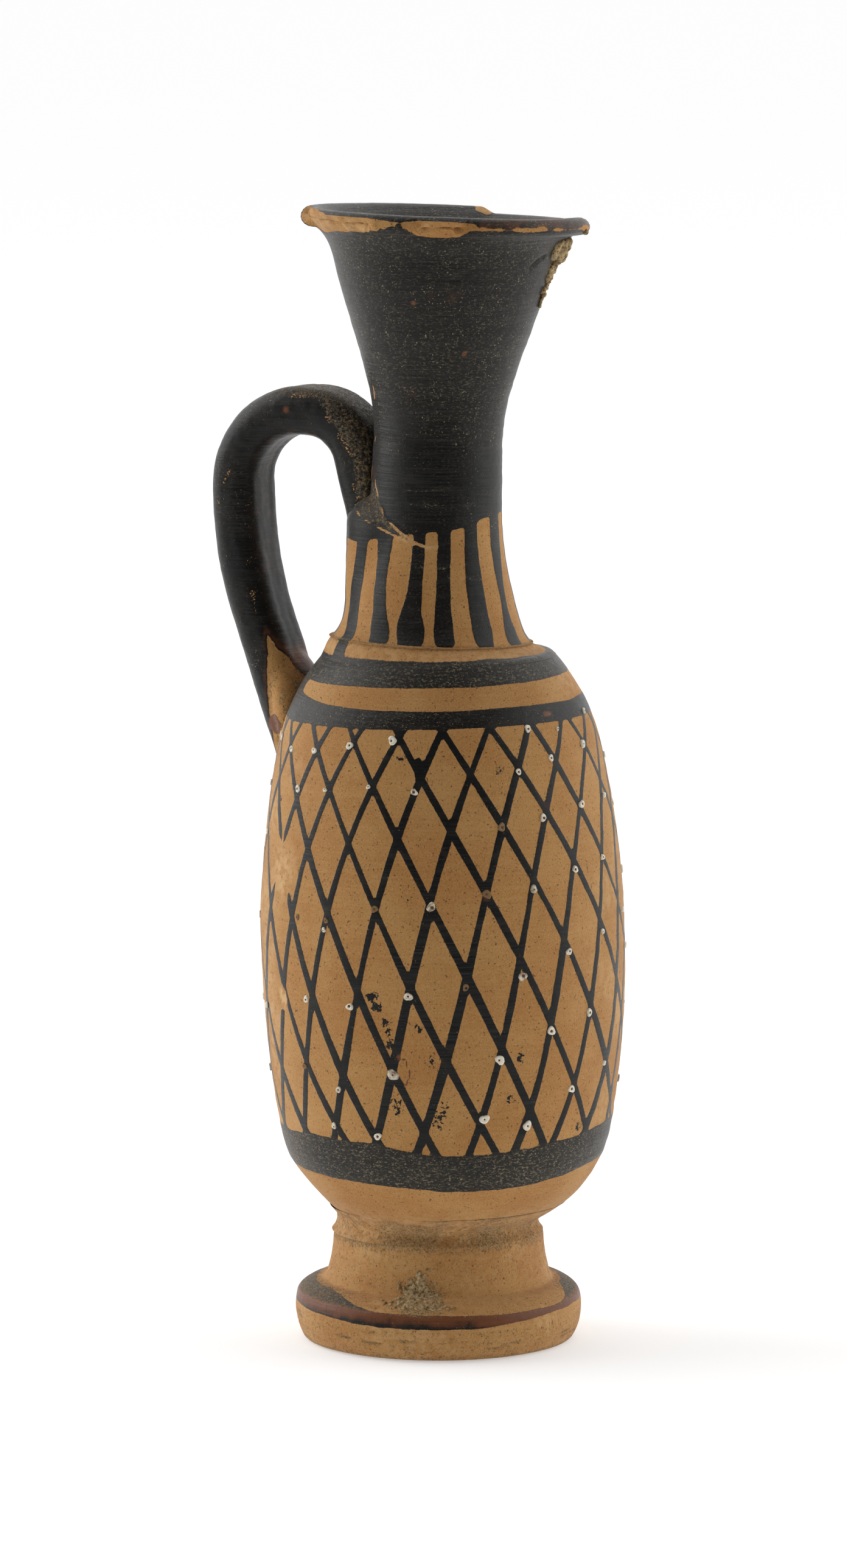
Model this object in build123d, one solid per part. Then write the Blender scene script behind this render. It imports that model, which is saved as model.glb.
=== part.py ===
from build123d import *
import math
import os

# A lekythos: a small oil vessel of fired clay, thrown in sections that are luted together with slip.
# Millimetres and degrees. The origin is the centre of the foot's underside, +Z is up, and the handle
# stands in the XZ plane on the -X side. A radius and a height belong to the piece's own axis, and an
# angle is measured from that axis, outwards.

# Foot: a disc on a short stem, hollowed a little underneath
foot_radius = 20.1
foot_widest_height = 4.2
foot_rest_radius = 18.7
foot_hollow_radius = 13.0
foot_hollow_depth = 1.6
disc_height = 6.6
disc_ridge_radius = 19.8
disc_crown_radius = 18.1
disc_crown_rise = 1.3
disc_top_rise = 1.9
stem_base_radius = 15.9
stem_top_radius = 14.7
stem_height = 6.9
stem_hollow = 0.255

# Body: a hollow ovoid, its outline three arcs that run into one another
body_base_radius = 9.2
belly_radius = 25.5
belly_height = 38.0
bowl_taper = 2.4
bowl_height = 14.0
shoulder_taper = 3.05
shoulder_drop = 12.7
body_top_radius = 15.9
body_height = 81.0
body_wall = 3.4
body_floor = 5.0
body_shift = 1.6
body_lean = 1.25

# Neck: a flared tube on the shoulder
neck_base_radius = 14.3
neck_base_angle = -53.0
neck_flare_radius = 12.0
neck_flare_height = 4.0
neck_taper_radius = 10.1
neck_taper_height = 11.3
neck_top_radius = 9.15
neck_top_angle = -1.1
neck_height = 22.5
neck_wall = 3.2
neck_shift = -1.0
neck_lean = 2.3
neck_lean_heading = 59.0

# Mouth: a trumpet with an everted, rounded lip
mouth_waist_radius = 9.05
mouth_waist_height = 7.2
mouth_flare_radius = 11.3
mouth_flare_height = 17.2
mouth_bell_radius = 15.0
mouth_bell_drop = 8.3
lip_under_radius = 18.1
lip_under_drop = 2.6
lip_under_angle = 53.0
lip_radius = 20.2
lip_drop = 1.3
rim_radius = 18.4
throat_radius = 16.6
throat_drop = 1.0
throat_angle = 61.0
mouth_height = 36.9
mouth_wall = 3.0

# Slip in the luted joints
slip_layer = 0.5
slip_bead = 0.15
collar_waist_inset = 0.75
collar_waist_rise = 1.8
collar_top_flare = 0.3
collar_top_rise = 3.2
neck_groove = 0.8

# Handle: a strap pulled from the neck over an arch and down to the shoulder
handle_width = 9.8
handle_thickness = 6.7
handle_corner = 2.9
handle_overhang = 5.3
handle_rise = 31.6
handle_start_height = 11.5
handle_neck_bite = 2.3
handle_stand_off = 2.7
handle_inner_bend = 8.0
handle_arch_flat = 0.9
handle_elbow_drop = 20.7
handle_elbow_flat = 0.4
handle_root_drop = 4.5
handle_root_bite = 2.5

# Clay smeared round the handle's two ends
top_pad_radius = 8.8
top_pad_proud = 2.6
top_pad_foot = 1.0
top_pad_head_drop = 1.9
top_pad_crown = 4.5
root_pad_half_depth = 3.75
root_pad_side_flare = 1.3
root_pad_half_height = 12.0
root_pad_rise = 6.0
root_pad_cover = 0.95

# Radii of the body that follow its belly
bowl_radius = belly_radius - bowl_taper
shoulder_radius = belly_radius - shoulder_taper

# Heights that build up from one piece to the next
stem_base_height = disc_height + disc_top_rise
foot_height = stem_base_height + stem_height
foot_slip = slip_layer + body_base_radius * math.tan(math.radians(body_lean))
neck_slip = slip_layer + body_top_radius * math.tan(math.radians(body_lean + neck_lean))
shoulder_height = body_height - shoulder_drop

# The body leans towards the handle, and the neck and mouth lean off to one side
body_place = Pos(body_shift, 0, foot_height + foot_slip) * Rot(Y=-body_lean)
neck_seat = (body_place * Pos(neck_shift, 0, body_height)).position
neck_turn = Rot(Z=neck_lean_heading) * Rot(Y=neck_lean) * Rot(Z=-neck_lean_heading)
neck_place = Pos(neck_seat + (0, 0, neck_slip)) * neck_turn
mouth_place = neck_place * Pos(0, 0, neck_height + slip_layer)


def direction(angle):
    """A direction in an outline, at an angle from the axis."""
    return (math.sin(math.radians(angle)), math.cos(math.radians(angle)))


def turned(*edges):
    """The solid that a closed outline of (radius, height) edges makes when it turns about Z."""
    return revolve(Plane.XZ * make_face(edges), Axis.Z)


def filled(*curves):
    """A solid of revolution whose curves run up its outside, closed by flat ends and the axis."""
    low = curves[0] @ 0
    high = curves[-1] @ 1
    return turned(
        *curves,
        Line(high, (0, high.Y)),
        Line((0, high.Y), (0, low.Y)),
        Line((0, low.Y), low),
    )


def make_foot():
    ridge = (disc_ridge_radius, disc_height)
    crown = (disc_crown_radius, disc_height + disc_crown_rise)
    stem_base = (stem_base_radius, stem_base_height)
    stem_top = (stem_top_radius, foot_height)
    hollow_edge = (foot_hollow_radius, 0)
    hollow_middle = (0, foot_hollow_depth)
    return turned(
        Line(hollow_edge, (foot_rest_radius, 0)),
        ThreePointArc((foot_rest_radius, 0), (foot_radius, foot_widest_height), ridge),
        ThreePointArc(ridge, crown, stem_base),
        SagittaArc(stem_base, stem_top, stem_hollow),
        Line(stem_top, (0, foot_height)),
        Line((0, foot_height), hollow_middle),
        TangentArc(hollow_middle, hollow_edge, tangent=(1, 0)),
    )


def body_solid(wall, bottom):
    """The body's filled outline, or its hollow where a wall is taken off each radius."""
    bowl = (bowl_radius - wall, bowl_height)
    belly = (belly_radius - wall, belly_height)
    shoulder = (shoulder_radius - wall, shoulder_height)
    side = ThreePointArc(bowl, belly, shoulder)
    under = TangentArc(bowl, (body_base_radius, bottom), tangent=-(side % 0))
    under_upwards = Edge.reversed(under)
    over = TangentArc(shoulder, (body_top_radius - wall, body_height), tangent=side % 1)
    return body_place * filled(under_upwards, side, over)


def neck_solid(wall):
    """The neck's filled outline, or its bore where a wall is taken off each radius."""
    return neck_place * filled(
        Spline(
            (neck_base_radius - wall, 0),
            (neck_flare_radius - wall, neck_flare_height),
            (neck_taper_radius - wall, neck_taper_height),
            (neck_top_radius - wall, neck_height),
            tangents=(direction(neck_base_angle), direction(neck_top_angle)),
        )
    )


def mouth_flank(wall, end, end_angle):
    """The trumpet's side, from the joint on the neck up to the given end."""
    return Spline(
        (neck_top_radius - wall, 0),
        (mouth_waist_radius - wall, mouth_waist_height),
        (mouth_flare_radius - wall, mouth_flare_height),
        (mouth_bell_radius - wall, mouth_height - mouth_bell_drop),
        end,
        tangents=(direction(neck_top_angle), direction(end_angle)),
    )


def mouth_outside():
    return mouth_flank(0, (lip_under_radius, mouth_height - lip_under_drop), lip_under_angle)


def make_mouth():
    outside = mouth_outside()
    rim = (rim_radius, mouth_height)
    throat = (throat_radius, mouth_height - throat_drop)
    inside = mouth_flank(mouth_wall, throat, throat_angle)
    return mouth_place * turned(
        outside,
        ThreePointArc(outside @ 1, (lip_radius, mouth_height - lip_drop), rim),
        Line(rim, throat),
        inside,
        Line(inside @ 0, outside @ 0),
    )


def make_foot_joint_slip(foot, body):
    """A waisted collar that stands on the stem and fills up to the body's underside."""
    outside = Spline(
        (stem_top_radius, foot_height),
        (stem_top_radius - collar_waist_inset, foot_height + collar_waist_rise),
        (stem_top_radius + collar_top_flare, foot_height + collar_top_rise),
    )
    return filled(outside) - foot - body


def make_neck_joint_slip(body, neck):
    """A ring that fills the wedge between the shoulder's top and the leaning neck."""
    bore = body_top_radius - body_wall
    bead = body_top_radius - neck_groove
    depth = 2 * neck_slip
    ring = turned(
        Line((bore, -depth), (bead, -depth)),
        Line((bead, -depth), (neck_base_radius, 0)),
        Line((neck_base_radius, 0), (bore, 0)),
        Line((bore, 0), (bore, -depth)),
    )
    return neck_place * ring - body - neck


def make_mouth_joint_slip():
    """A thin ring between the neck and the mouth, proud by a bead."""
    inner = neck_top_radius - neck_wall
    outer = neck_top_radius
    bead = (neck_top_radius + slip_bead, slip_layer / 2)
    ring = turned(
        Line((inner, 0), (outer, 0)),
        ThreePointArc((outer, 0), bead, (outer, slip_layer)),
        Line((outer, slip_layer), (inner, slip_layer)),
        Line((inner, slip_layer), (inner, 0)),
    )
    return neck_place * Pos(0, 0, neck_height) * ring


def handle_corners():
    """Corners of the strap's centreline: up off the neck, over the arch and down to the shoulder."""
    neck_x = neck_place.position.X - neck_top_radius
    neck_z = neck_place.position.Z
    arch_z = neck_z + handle_rise
    shoulder_z = (body_place * Pos(0, 0, shoulder_height)).position.Z
    start = Vector(neck_x + handle_neck_bite, neck_z + handle_start_height)
    inner = Vector(neck_x - handle_stand_off, arch_z)
    outer = Vector(-belly_radius - handle_overhang, arch_z)
    elbow = outer - (0, handle_elbow_drop)
    root = Vector(-shoulder_radius + handle_root_bite, shoulder_z - handle_root_drop)
    return start, inner, outer, elbow, root


def handle_path():
    """The strap's centreline, its corners rounded so that each bend runs into the next."""
    start, inner, outer, elbow, root = handle_corners()
    inner_half_turn = (inner - start).get_angle(outer - inner) / 2
    inner_run = handle_inner_bend * math.tan(math.radians(inner_half_turn))
    outer_bend = (outer - inner).length - inner_run - handle_arch_flat
    elbow_half_turn = (elbow - outer).get_angle(root - elbow) / 2
    elbow_run = handle_elbow_drop - outer_bend - handle_elbow_flat
    elbow_bend = elbow_run / math.tan(math.radians(elbow_half_turn))
    bends = [handle_inner_bend, outer_bend, elbow_bend]
    return Plane.XZ * FilletPolyline(start, inner, outer, elbow, root, radius=bends)


def make_handle(*carriers):
    """The strap, its ends trimmed to the surfaces that it is luted on."""
    path = handle_path()
    across = Plane(path @ 0, x_dir=(0, 1, 0), z_dir=path % 0)
    strap = sweep(across * RectangleRounded(handle_width, handle_thickness, handle_corner), path=path)
    for carrier in carriers:
        strap -= carrier
    return strap


def make_handle_top_slip(*carriers):
    """Clay smeared down the neck under the strap: a column that sinks into the neck's flare."""
    height = neck_height - top_pad_head_drop - top_pad_foot
    column = Cylinder(top_pad_radius, height, align=(Align.CENTER, Align.CENTER, Align.MIN))
    column = fillet(column.edges().sort_by(Axis.Z)[-1], top_pad_crown)
    centre_x = -neck_taper_radius - top_pad_proud + top_pad_radius
    return neck_place * Pos(centre_x, 0, top_pad_foot) * column - carriers


def make_handle_root_slip(*carriers):
    """Clay that swells from the strap's lower limb onto the shoulder and is covered by its outer face."""
    start, inner, outer, elbow, root = handle_corners()
    limb = (elbow - root).normalized()
    along_limb = Plane((root.X, 0, root.Y), x_dir=(limb.Y, 0, -limb.X), z_dir=(limb.X, 0, limb.Y))
    half_width = handle_width / 2 + root_pad_side_flare
    side = EllipticalCenterArc((0, 0), half_width, root_pad_half_height, start_angle=-90, arc_size=180)
    swelling = turned(side, Line(side @ 1, side @ 0))
    swelling = scale(swelling, by=(root_pad_half_depth / half_width, 1, 1))
    inset = root_pad_half_depth - handle_thickness / 2 + root_pad_cover
    return along_limb * Pos(inset, 0, root_pad_rise) * swelling - carriers


foot = make_foot()
body_blank = body_solid(0, 0)
neck_blank = neck_solid(0)
mouth_blank = mouth_place * filled(mouth_outside())
neck_slip_ring = make_neck_joint_slip(body_blank, neck_blank)
mouth_slip_ring = make_mouth_joint_slip()
handle = make_handle(body_blank, neck_blank, mouth_blank, mouth_slip_ring)

parts = {
    "foot": foot,
    "foot_joint_slip": make_foot_joint_slip(foot, body_blank),
    "body": body_blank - body_solid(body_wall, body_floor),
    "neck_joint_slip": neck_slip_ring,
    "neck": neck_blank - neck_solid(neck_wall),
    "mouth_joint_slip": mouth_slip_ring,
    "mouth": make_mouth(),
    "handle": handle,
    "handle_top_joint_slip": make_handle_top_slip(neck_blank, mouth_slip_ring, mouth_blank, handle),
    "handle_root_joint_slip": make_handle_root_slip(body_blank, neck_slip_ring, handle),
}

os.makedirs("parts", exist_ok=True)
for node, solid in parts.items():
    export_step(solid, f"parts/{node}.step")
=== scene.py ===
import bmesh
import bpy
import itertools
import math
import numpy as np
from mathutils import Matrix, Vector


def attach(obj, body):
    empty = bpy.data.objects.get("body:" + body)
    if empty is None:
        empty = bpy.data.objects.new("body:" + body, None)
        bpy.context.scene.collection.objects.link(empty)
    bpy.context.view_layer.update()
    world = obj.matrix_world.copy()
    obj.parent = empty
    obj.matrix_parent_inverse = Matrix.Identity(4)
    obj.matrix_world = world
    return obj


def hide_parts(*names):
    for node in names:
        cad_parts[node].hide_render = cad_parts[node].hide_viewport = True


# The looks of a net-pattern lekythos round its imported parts: fired clay, black gloss, white dabs and soil.
# Lengths are millimetres and angles degrees, and MM turns a length into the frame's metres. A turned
# piece has its own leaning axis: its heights start at its own base, and its paint angle starts at the
# side that faces the camera and grows to the right.

MM = 0.001
RAD = math.pi / 180
BODY = "root"
SHARP_FROM = 55.0

# View: the photographed side, and the camera's place, tilt and focal length
VIEW_SIDE = 27.0
CAMERA_DISTANCE = 1150.0
CAMERA_OFFSET = -2.107
CAMERA_HEIGHT = 237.0
CAMERA_PITCH = 7.852
SENSOR = 36.0
FOCAL_PIXELS = 13651.0
PHOTO_HEIGHT_PIXELS = 2576.0
FRONT = VIEW_SIDE - 90

# Studio: half the floor's width and where it grows dim towards the front, in metres, where the surroundings
# grow dim along a direction of length 1, how bright both are, and the lights' power and aiming height
FLOOR_HALF = 6.0
FLOOR_BRIGHT_TO = 0.17
FLOOR_DIM_FROM = 0.5
FLOOR_WHITE = 0.7
FLOOR_GREY = 0.35
FLOOR_GLOW = 0.4
ROOM_DIM_RISE = 0.3
ROOM_BRIGHT_TO = -0.05
ROOM_DIM_FROM = 0.85
ROOM_GLOW = 1.3
ROOM_DIM_GLOW = 0.08
KEY_POWER = 7.0
FILL_POWER = 4.0
LIGHTS_AIM = 0.08

# Leans of the turned pieces: how far, and towards which heading in plan
UPRIGHT = (0.0, 0.0)
BODY_LEAN = (1.25, 180.0)
NECK_LEAN = (2.3, 59.0)

# What the gloss field says well inside bare clay, and well inside the paint
BARE = -5.0
COVERED = 5.0

# Net on the body: paint angles of each brush stroke at four heights, read off the photograph
NET_HEIGHTS = (73.0, 55.0, 35.0, 15.0)
FALLING_STROKES = (
    (-101.0, -76.8, -59.3, -36.2),
    (-84.0, -63.1, -45.0, -23.3),
    (-73.9, -47.5, -26.3, -5.2),
    (-55.5, -29.1, -8.0, 15.3),
    (-36.2, -10.8, 11.2, 34.4),
    (-17.0, 8.1, 31.3, 56.2),
    (0.1, 26.1, 50.7, 79.0),
    (18.4, 45.5, 72.1, 102.0),
    (36.1, 62.0, 91.0, 122.0),
    (57.0, 84.5, 110.0, 141.0),
)
RISING_STROKES = (
    (-43.9, -63.5, -77.0, -93.0),
    (-29.0, -49.1, -61.0, -75.5),
    (-12.5, -33.2, -45.9, -57.6),
    (2.0, -16.5, -28.8, -42.0),
    (19.2, 0.2, -11.8, -25.0),
    (36.0, 17.4, 5.1, -9.4),
    (53.5, 32.7, 21.4, 8.7),
    (72.5, 48.6, 37.2, 25.0),
    (85.0, 65.0, 54.0, 39.7),
    (97.0, 78.0, 70.6, 54.8),
    (112.0, 94.0, 81.0, 72.0),
)
FALLING_AT_BACK = 9
RISING_AT_BACK = 11
BACK_UNEVENNESS = 1.6
STROKE_WIDTHS = (0.84, 0.98, 1.1, 1.18)
NET_LOW = 12.0
NET_HIGH = 73.5
THICK_STROKE = ((-4.0, 48.0), (-10.5, 37.5))
THICK_HALF = 0.62
LEAF_MARK = ((-14.6, 27.7), (-12.7, 27.3), (-11.5, 25.6), (-11.9, 24.5), (-13.1, 23.7))
LEAF_HALF = 0.15
HAIR_MARK = ((-16.1, 69.0), (-14.4, 68.7), (-12.7, 68.3))

# White dabs that show in the photograph: paint angle, height, radius and how far each has faded
DABS = (
    (-65.7, 68.8, 0.55, 0.1), (-50.5, 69.1, 0.55, 0), (-56.9, 63.7, 0.6, 0), (-42.7, 64.0, 0.34, 0.2),
    (-34.0, 70.2, 0.6, 0.05), (-17.1, 71.1, 0.7, 0), (-25.1, 64.8, 0.34, 0.15), (-8.8, 64.2, 0.52, 0.3),
    (34.6, 72.0, 0.6, 0), (28.1, 66.4, 0.48, 0.15), (42.6, 67.8, 0.52, 0.15), (49.0, 71.5, 0.34, 0.3),
    (62.5, 68.9, 0.6, 0), (72.8, 73.0, 0.45, 0), (54.7, 60.9, 0.62, 0), (35.9, 59.9, 0.58, 0.15),
    (20.2, 59.1, 0.62, 0.6), (72.6, 61.3, 0.5, 0), (47.5, 52.3, 0.55, 0.1), (63.7, 53.1, 0.5, 0),
    (30.1, 50.3, 0.64, 0.45), (14.1, 50.1, 0.7, 0.95), (-3.5, 48.6, 0.72, 0.4), (-21.6, 48.2, 0.55, 0.9),
    (-39.2, 46.2, 0.45, 0.75), (-40.0, 44.9, 0.38, 0), (-52.0, 46.2, 0.45, 0.8), (42.6, 41.1, 0.58, 0.2),
    (25.1, 38.4, 0.7, 0.35), (6.7, 37.4, 0.55, 0.95), (-11.1, 36.2, 0.66, 0.3), (-30.7, 34.5, 0.6, 0.05),
    (-48.4, 34.9, 0.55, 0.05), (52.2, 32.1, 0.6, 0), (35.6, 30.4, 0.7, 0), (17.5, 27.0, 0.76, 0.1),
    (-17.0, 25.2, 0.9, 0.4), (-51.8, 25.3, 0.5, 0.85), (45.3, 21.7, 0.66, 0), (-37.2, 22.6, 0.5, 0.25),
    (62.8, 24.3, 0.4, 0), (12.6, 18.7, 0.74, 0), (27.9, 17.3, 0.74, 0.05), (-40.9, 17.3, 0.5, 0.35),
    (-23.8, 16.3, 0.6, 0), (80.2, 44.8, 0.5, 0), (60.1, 43.0, 0.42, 0.05),
)
DAB_SCALE = 0.9
DABS_FROM = -74.0
DABS_TO = 82.0

# Patches on the body: paint angle, height, half-width and half-height, and the strength of each smudge
BLOT = (-7.3, 67.2, 0.62, 1.7)
SCRAPE = (-62.5, 52.6, 4.6, 5.4)
SMALL_SCRAPE = (-62, 34.4, 1.6, 2.0)
THIN_CROSSING = (14, 50, 1.3, 1.7)
THIN_BAND = (46.1, 73.6, 1.6, 0.6)
STAIN = (20.6, 66.8, 2.2, 1.4)
SOILED_SIDE = (-112, 64, 9, 6)
SLIM_SIDE = (-92, 6, 14, 5)
SMUDGES = (
    (-23.2, 36.0, 1.5, 1.1, 1.0), (-21.7, 34.6, 1.2, 1.3, 0.9), (-18.8, 32.5, 0.9, 0.9, 0.9),
    (-17.6, 31.2, 0.9, 1.0, 0.9), (-17.4, 29.4, 1.0, 1.2, 0.9), (-16.4, 20.9, 1.5, 2.6, 0.6),
    (-2.9, 18.9, 1.3, 2.4, 0.7), (-8.2, 31.8, 0.8, 1.5, 0.6), (-4.7, 27.0, 1.1, 1.6, 0.6),
    (-0.5, 20.4, 1.1, 2.2, 0.5), (24.5, 26.9, 0.9, 1.4, 0.8), (21.3, 21.4, 1.4, 1.5, 0.5),
    (51.0, 16.0, 1.0, 1.1, 0.6), (20.6, 66.8, 1.4, 0.9, 0.6), (-10.2, 49.6, 0.6, 0.5, 0.6),
    (-68.5, 61.9, 0.5, 0.7, 1.0),
)

# Bands on the body: edges as (paint angle, height)
SHOULDER_BAND_LOW = 72.5
STRIPE_LOW = (
    (-150, 74.95), (-78, 76.5), (-68, 75.95), (-57, 75.45), (-43, 75.15), (-20, 74.95), (60, 74.95),
    (150, 74.95),
)
STRIPE_HIGH = 77.9
STRIPE_START = -76.5
STRIPE_END = 204.0
BASE_BAND_TOP = ((-75, 15.4), (-25, 15.0), (-8, 13.9), (15, 13.5), (40, 14.3), (60, 15.2), (180, 14.6))
BASE_BAND_LOW = ((-70, 9.9), (-25, 9.0), (0, 8.3), (30, 8.3), (55, 9.5), (180, 9.3))

# Tongues on the neck: paint angles of each one's two edges at seven heights. The first one runs on down
TONGUE_HEIGHTS = (14.0, 9.4, 6.6, 4.8, 3.5, 2.3, 1.0)
TONGUES = (
    (
        (-72.5, -62.0), (-77.0, -64.5), (-80.0, -63.5), (-78.0, -60.5), (-73.5, -58.0), (-69.0, -56.0),
        (-66.0, -54.5),
    ),
    (
        (-53.0, -37.5), (-49.7, -38.2), (-47.0, -35.6), (-44.4, -33.0), (-43.4, -30.4), (-42.2, -28.0),
        (-40.0, -26.4),
    ),
    ((-18.3, -8.0), (-18.9, -8.1), (-20.0, -8.0), (-22.0, -7.7), (-22.8, -5.9), (-22.7, -4.8), (-21.0, -4.8)),
    ((2.3, 13.4), (2.3, 12.8), (1.8, 13.0), (1.6, 13.3), (1.4, 13.6), (1.3, 13.9), (1.8, 14.2)),
    ((25.6, 38.4), (25.5, 40.0), (25.8, 40.8), (26.1, 41.0), (26.4, 41.3), (26.5, 41.5), (26.9, 40.4)),
    ((54.4, 71.1), (56.2, 66.6), (56.8, 64.6), (56.0, 64.5), (54.8, 65.5), (53.5, 67.0), (52.8, 66.5)),
)
TONGUES_AT_BACK = 7
TONGUE_FOOT = 0.3
FIRST_TONGUE_FOOT = -3.0
SLOT_TOPS = (
    (-78.4, 13.5), (-57.8, 14.3), (-36.9, 14.9), (-7.8, 15.8), (19.9, 16.4), (48.0, 17.9), (77.2, 18.4),
    (180, 17), (243, 15),
)
CREASE_LINE = ((-69.0, 22.4), (-48.8, 17.6), (-31.2, 15.7), (-16.6, 14.35), (-7.2, 13.8), (1.7, 13.9))
SMEAR_LINE = ((-86.0, 18.6), (-72.0, 17.3), (-57.0, 16.2), (-35.1, 15.1), (-16.5, 14.2))
NECK_SCRATCHES = (
    ((-29.3, 21.4), (-10.0, 21.6), (12.0, 22.0)),
    ((-20.5, 11.0), (12.4, 11.1)),
    ((12.2, 9.8), (40.0, 9.6), (78.0, 9.1)),
    ((-22.0, 19.6), (6.0, 19.8)),
    ((14.0, 19.0), (40.0, 20.2)),
)
NECK_HEIGHT = 22.5

# Fillet at the neck's base: its ends' heights on body and neck, its paint's share, its shape, and how far the
# neck is drawn in under it
FILLET_LOW = 80.3
FILLET_HIGH = 0.55
FILLET_BAND = 0.42
FILLET_PROUD = 0.03
FILLET_PULL = 0.9
FILLET_NECK_PULL = 1.7
FILLET_DEPTH = 0.9
FILLET_ROWS = 14
NECK_TUCK = 0.35

# Hard soil, as spots of grains: angle, height, the spread of each, the grains' size and how many
RIM_CRUST = (
    (79, 32.2, 3.5, 0.8, 0.8, 60), (71, 32.4, 3.0, 0.6, 0.5, 30), (79, 29.8, 1.6, 0.9, 0.5, 26),
    (76, 26.8, 1.4, 0.9, 0.4, 20), (75.5, 24.7, 0.7, 0.4, 0.3, 8),
)
FOOT_CRUST = (
    (-10, 11.0, 2.0, 0.6, 0.24, 40), (-11, 9.6, 3.5, 0.5, 0.28, 90), (-10, 8.5, 5.0, 0.3, 0.28, 120),
    (-9, 7.9, 6.0, 0.2, 0.26, 110), (-8, 7.5, 6.5, 0.15, 0.24, 90),
)

# Clay pressed round the handle's upper end: a round-topped column that swells out of the neck
PAD_HEADING = 180.0
PAD_OFFSET = 3.9
PAD_RADIUS = 8.8
PAD_HEAD = 20.6
PAD_CROWN = 4.5

# Broken rim: lower edge of the break as (paint angle, height), and its upper edge as (radius, height)
BREAK_LOW = (
    (-105, 37.4), (-96, 36.6), (-88, 35.2), (-78, 33.7), (-54, 33.7), (-38, 34.1), (-26, 34.8), (-18, 35.1),
    (-14, 34.5), (-8, 33.8), (0, 33.8), (6, 34.2), (11, 35.2), (15, 36.3), (20, 37.4), (180, 37.4),
)
BREAK_TOP = (19.9, 36.45)
BREAK_DEEPER = 1.1
RUB_HEIGHT = 35.45
RUB_HALF = 0.26
RUB_FROM = 10.0
RUB_TO = 84.0

# Marks on the mouth, as lines of (paint angle, height), as a chip's angle and half-sizes, and as patches
STRAP_CREASE = (
    (-83.5, 0.0), (-79.2, 3.2), (-75.5, 6.8), (-71.3, 9.8), (-69.4, 12.6), (-61.0, 14.9), (-58.4, 16.6),
)
LIP_CRACK = ((51, 29.9), (54, 30.4), (58, 31.2), (61, 31.3))
OLD_CRACK = ((3, 27.9), (10, 28.6), (14, 29.5), (24, 30.0))
BACK_CHIP = (163, 1.5, 0.7)
RED_SPOTS = ((-17.1, 24.7, 0.8, 0.7), (16.0, 17.8, 0.7, 0.7))
RIM_SOIL = (78, 30, 4, 4.5)

# Foot: heights of its painted edge, how its ridge rises and falls, and the soil under its crust
FOOT_BAND_LOW = (
    (-80, 5.2), (-50, 5.0), (-20, 4.75), (0, 4.85), (15, 5.05), (28, 5.4), (40, 5.8), (60, 6.0), (80, 5.9),
    (180, 5.4),
)
FOOT_RIDGE = 6.6
FOOT_RIDGE_LIFT = ((-70, 0.35), (-10, 0.0), (40, -0.3), (80, 0.1), (180, 0.1))
STEM_TOP = 15.4
CRUST_BED = (-9, 8.4, 5.0, 3.2)

# Collar: the radius where it runs out on the body's underside, how proud it ends, and its curve's two pulls
COLLAR_REACH = 16.6
COLLAR_PROUD = 0.04
COLLAR_LEAD = 0.6
COLLAR_TAIL = 1.5

# Handle, in X and Z: the middle of its opening, the chipped edge of its arch, scratches and its root's tip,
# and a red spot in X, Y and Z
HANDLE_EYE = (-19.5, 116.0)
CHIPPED_EDGE = (
    (-20.6, 132.4), (-17.2, 132.2), (-15.5, 130.4), (-14.3, 128.8), (-13.4, 127.8), (-12.8, 126.8),
    (-11.2, 124.8), (-11.0, 123.0), (-10.7, 120.2), (-10.1, 118.1), (-9.4, 116.6),
)
HANDLE_SCRATCHES = (
    ((-30.4, 121.5), (-32.3, 116.8)), ((-27.1, 121.7), (-28.0, 117.3)), ((-27.4, 106.1), (-25.9, 99.5)),
)
ROOT_TIP = (-23.2, 86.0)
RED_SPOT = (-21.4, -4.9, 130.3)

# Bare triangle at the handle's root: its apex, the slope of its upper edge, and its outer edge as (height, X)
TRIANGLE_APEX = (-24.4, 98.0)
TRIANGLE_SLOPE = 1.24
TRIANGLE_OUTER = ((81.0, -23.4), (83.5, -23.9), (87.0, -24.2), (90.5, -24.5), (98.0, -24.6))

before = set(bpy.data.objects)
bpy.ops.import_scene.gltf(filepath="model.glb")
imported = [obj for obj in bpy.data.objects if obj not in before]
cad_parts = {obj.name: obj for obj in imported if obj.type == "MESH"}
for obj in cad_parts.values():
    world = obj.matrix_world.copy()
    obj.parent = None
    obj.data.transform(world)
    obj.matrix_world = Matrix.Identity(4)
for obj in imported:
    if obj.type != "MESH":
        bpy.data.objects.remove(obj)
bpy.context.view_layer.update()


def ramp(low, high, x):
    """0 at low and 1 at high, smooth between them and level beyond."""
    t = np.clip((x - low) / (high - low), 0, 1)
    return t * t * (3 - 2 * t)


def inside(depth, soft=0.3):
    """1 well inside an edge and 0 well outside it, from the depth inside."""
    return ramp(-soft, soft, depth)


def smooth_max(first, second, reach):
    """The larger of two fields, with the crease between them rounded."""
    share = np.clip(0.5 + 0.5 * (first - second) / reach, 0, 1)
    return second + (first - second) * share + reach * share * (1 - share)


def from_segment(x, y, run, rise):
    """The distance of places (x, y) from a straight line between the origin and (run, rise)."""
    share = np.clip((x * run + y * rise) / (run**2 + rise**2), 0, 1)
    return np.hypot(x - share * run, y - share * rise)


def wrapped(angle):
    return (angle + 180) % 360 - 180


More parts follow.
